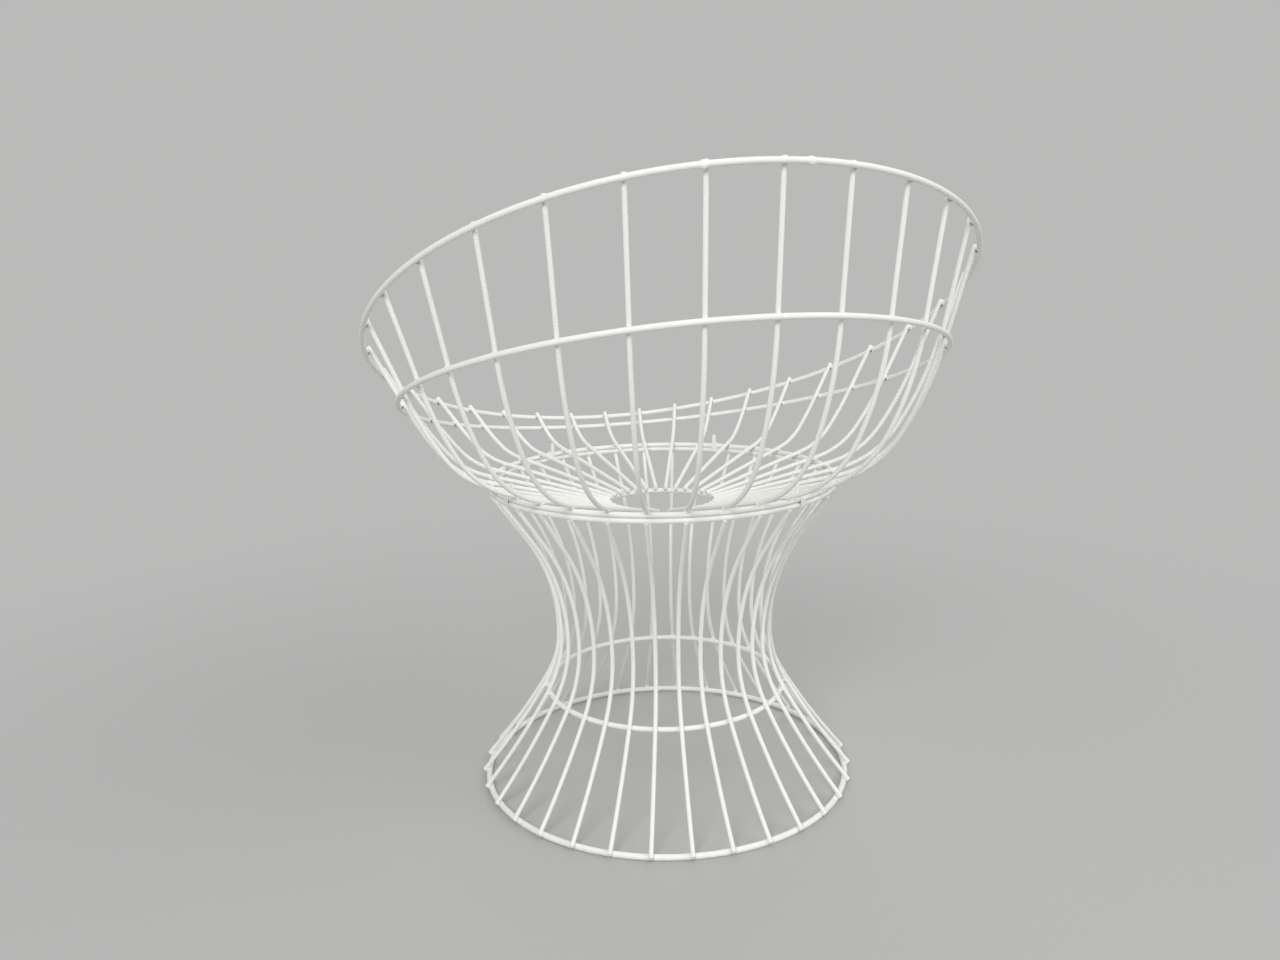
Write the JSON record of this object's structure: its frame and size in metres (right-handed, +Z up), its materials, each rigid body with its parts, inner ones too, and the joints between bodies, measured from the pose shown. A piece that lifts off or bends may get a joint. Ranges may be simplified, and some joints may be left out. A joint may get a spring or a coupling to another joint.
{
  "type": "garden armchair",
  "caption": "White painted steel-wire tub armchair: a round wire bowl with a high back and low front, strapped onto a waisted wire pedestal that stands on a floor ring.",
  "frame": {"origin": "on the floor, in the middle of the floor ring", "axes": "+Z up; the sitter faces -Y, so the high back is at +Y; +X is to the sitter's left"},
  "size_m": [0.686, 0.6172, 0.7147],
  "materials": {
    "ring_paint": "satin",
    "wire_paint": "satin",
    "clip_paint": "satin"
  },
  "bodies": {
    "root": {"base_ring": "ring_paint", "waist_ring": "ring_paint", "base_top_ring": "ring_paint", "seat_ring": "ring_paint", "centre_ring": "ring_paint", "mid_ring": "ring_paint", "rim_ring": "ring_paint", "bowl_wire_00": "wire_paint", "bowl_wire_01": "wire_paint", "bowl_wire_02": "wire_paint", "bowl_wire_03": "wire_paint", "bowl_wire_04": "wire_paint", "bowl_wire_05": "wire_paint", "bowl_wire_06": "wire_paint", "bowl_wire_07": "wire_paint", "bowl_wire_08": "wire_paint", "bowl_wire_09": "wire_paint", "bowl_wire_10": "wire_paint", "bowl_wire_11": "wire_paint", "bowl_wire_12": "wire_paint", "bowl_wire_13": "wire_paint", "bowl_wire_14": "wire_paint", "bowl_wire_15": "wire_paint", "bowl_wire_16": "wire_paint", "bowl_wire_17": "wire_paint", "bowl_wire_18": "wire_paint", "bowl_wire_19": "wire_paint", "bowl_wire_20": "wire_paint", "bowl_wire_21": "wire_paint", "bowl_wire_22": "wire_paint", "bowl_wire_23": "wire_paint", "bowl_wire_24": "wire_paint", "bowl_wire_25": "wire_paint", "bowl_wire_26": "wire_paint", "bowl_wire_27": "wire_paint", "bowl_wire_28": "wire_paint", "bowl_wire_29": "wire_paint", "bowl_wire_30": "wire_paint", "bowl_wire_31": "wire_paint", "base_wires_00": "wire_paint", "base_wires_02": "wire_paint", "base_wires_04": "wire_paint", "base_wires_06": "wire_paint", "base_wires_08": "wire_paint", "base_wires_10": "wire_paint", "base_wires_12": "wire_paint", "base_wires_14": "wire_paint", "base_wires_16": "wire_paint", "base_wires_18": "wire_paint", "base_wires_20": "wire_paint", "base_wires_22": "wire_paint", "base_wires_24": "wire_paint", "base_wires_26": "wire_paint", "base_wires_28": "wire_paint", "base_wires_30": "wire_paint", "seat_clips": "clip_paint"}
  },
  "joints": []
}
